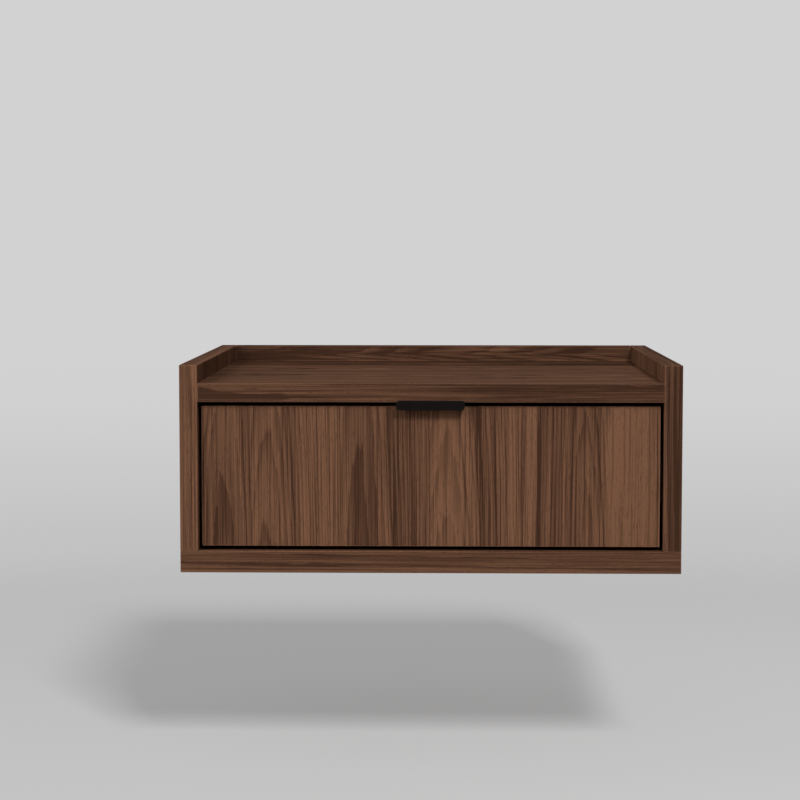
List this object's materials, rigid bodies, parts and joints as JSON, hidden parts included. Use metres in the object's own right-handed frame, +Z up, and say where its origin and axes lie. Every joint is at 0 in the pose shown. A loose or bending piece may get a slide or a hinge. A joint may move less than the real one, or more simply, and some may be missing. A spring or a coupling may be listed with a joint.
{
  "type": "hanging cabinet",
  "caption": "Wall-hung walnut bedside cabinet with an inset drawer on ball runners, a low gallery round its top and a black edge pull",
  "frame": {"origin": "On the wall plane, midway between the screw holes of the wall rail", "axes": "+X to the right seen from the front, +Y back into the wall, +Z up; the front faces -Y"},
  "size_m": [0.5, 0.405, 0.208],
  "materials": {
    "walnut": "oiled, satin",
    "back_wood": "oiled, matt",
    "drawer_wood": "lacquered, satin",
    "dowel_wood": "plain",
    "pull_black": "black powder coat",
    "rail_aluminium": "mill finish",
    "screw_steel": "zinc plated",
    "runner_steel": "black electro-coat",
    "cage_steel": "pressed sheet",
    "ball_steel": "polished",
    "stop_rubber": "matt",
    "lever_plastic": "moulded"
  },
  "bodies": {
    "carcass": {"base_board": "walnut", "side_board_left": "walnut", "side_board_right": "walnut", "top_board": "walnut", "gallery_rail": "walnut", "back_panel": "back_wood", "hanging_stretcher": "back_wood", "base_screws": "screw_steel", "top_board_dowels": "dowel_wood", "stretcher_dowels": "dowel_wood", "gallery_dowels": "dowel_wood", "wall_rail": "rail_aluminium", "cabinet_rail": "rail_aluminium", "cabinet_rail_screws": "screw_steel", "runner_cabinet_member_left": "runner_steel", "runner_cabinet_member_right": "runner_steel", "runner_cabinet_screws": "screw_steel", "runner_stop_left": "stop_rubber", "runner_stop_right": "stop_rubber"},
    "drawer": {"drawer_front": "walnut", "edge_pull": "pull_black", "edge_pull_screws": "pull_black", "drawer_box_side_left": "drawer_wood", "drawer_box_side_right": "drawer_wood", "drawer_box_front": "drawer_wood", "drawer_box_back": "drawer_wood", "drawer_box_bottom": "drawer_wood", "drawer_box_pegs": "dowel_wood", "drawer_front_screws": "screw_steel", "runner_drawer_member_left": "runner_steel", "runner_drawer_member_right": "runner_steel", "runner_drawer_screws": "screw_steel", "release_lever_pins": "screw_steel"},
    "middle_member_left": {"runner_middle_member_left": "runner_steel"},
    "outer_cage_left": {"outer_ball_cage_left": "cage_steel", "outer_balls_left": "ball_steel"},
    "inner_cage_left": {"inner_ball_cage_left": "cage_steel", "inner_balls_left": "ball_steel"},
    "release_lever_left": {"release_lever_left": "lever_plastic"},
    "middle_member_right": {"runner_middle_member_right": "runner_steel"},
    "outer_cage_right": {"outer_ball_cage_right": "cage_steel", "outer_balls_right": "ball_steel"},
    "inner_cage_right": {"inner_ball_cage_right": "cage_steel", "inner_balls_right": "ball_steel"},
    "release_lever_right": {"release_lever_right": "lever_plastic"}
  },
  "joints": [
    {"name": "drawer_slide", "type": "slide", "parent": "carcass", "child": "drawer", "axis": [0, -1, 0], "range_m": [0, 0.3]},
    {"name": "middle_member_left_slide", "type": "slide", "parent": "carcass", "child": "middle_member_left", "axis": [0, -1, 0], "range_m": [0, 0.15]},
    {"name": "outer_cage_left_slide", "type": "slide", "parent": "carcass", "child": "outer_cage_left", "axis": [0, -1, 0], "range_m": [0, 0.075]},
    {"name": "inner_cage_left_slide", "type": "slide", "parent": "carcass", "child": "inner_cage_left", "axis": [0, -1, 0], "range_m": [0, 0.225]},
    {"name": "release_lever_left_hinge", "type": "hinge", "parent": "drawer", "child": "release_lever_left", "pos_m": [-0.2215, -0.25, -0.013], "axis": [-1, 0, 0], "range_deg": [0, 6], "stiffness_Nm_per_rad": 0.004},
    {"name": "middle_member_right_slide", "type": "slide", "parent": "carcass", "child": "middle_member_right", "axis": [0, -1, 0], "range_m": [0, 0.15]},
    {"name": "outer_cage_right_slide", "type": "slide", "parent": "carcass", "child": "outer_cage_right", "axis": [0, -1, 0], "range_m": [0, 0.075]},
    {"name": "inner_cage_right_slide", "type": "slide", "parent": "carcass", "child": "inner_cage_right", "axis": [0, -1, 0], "range_m": [0, 0.225]},
    {"name": "release_lever_right_hinge", "type": "hinge", "parent": "drawer", "child": "release_lever_right", "pos_m": [0.2215, -0.25, -0.013], "axis": [-1, 0, 0], "range_deg": [0, 6], "stiffness_Nm_per_rad": 0.004}
  ],
  "couplings": [
    {"joint": "middle_member_left_slide", "follows": "drawer_slide", "ratio": 0.5},
    {"joint": "outer_cage_left_slide", "follows": "drawer_slide", "ratio": 0.25},
    {"joint": "inner_cage_left_slide", "follows": "drawer_slide", "ratio": 0.75},
    {"joint": "middle_member_right_slide", "follows": "drawer_slide", "ratio": 0.5},
    {"joint": "outer_cage_right_slide", "follows": "drawer_slide", "ratio": 0.25},
    {"joint": "inner_cage_right_slide", "follows": "drawer_slide", "ratio": 0.75}
  ]
}
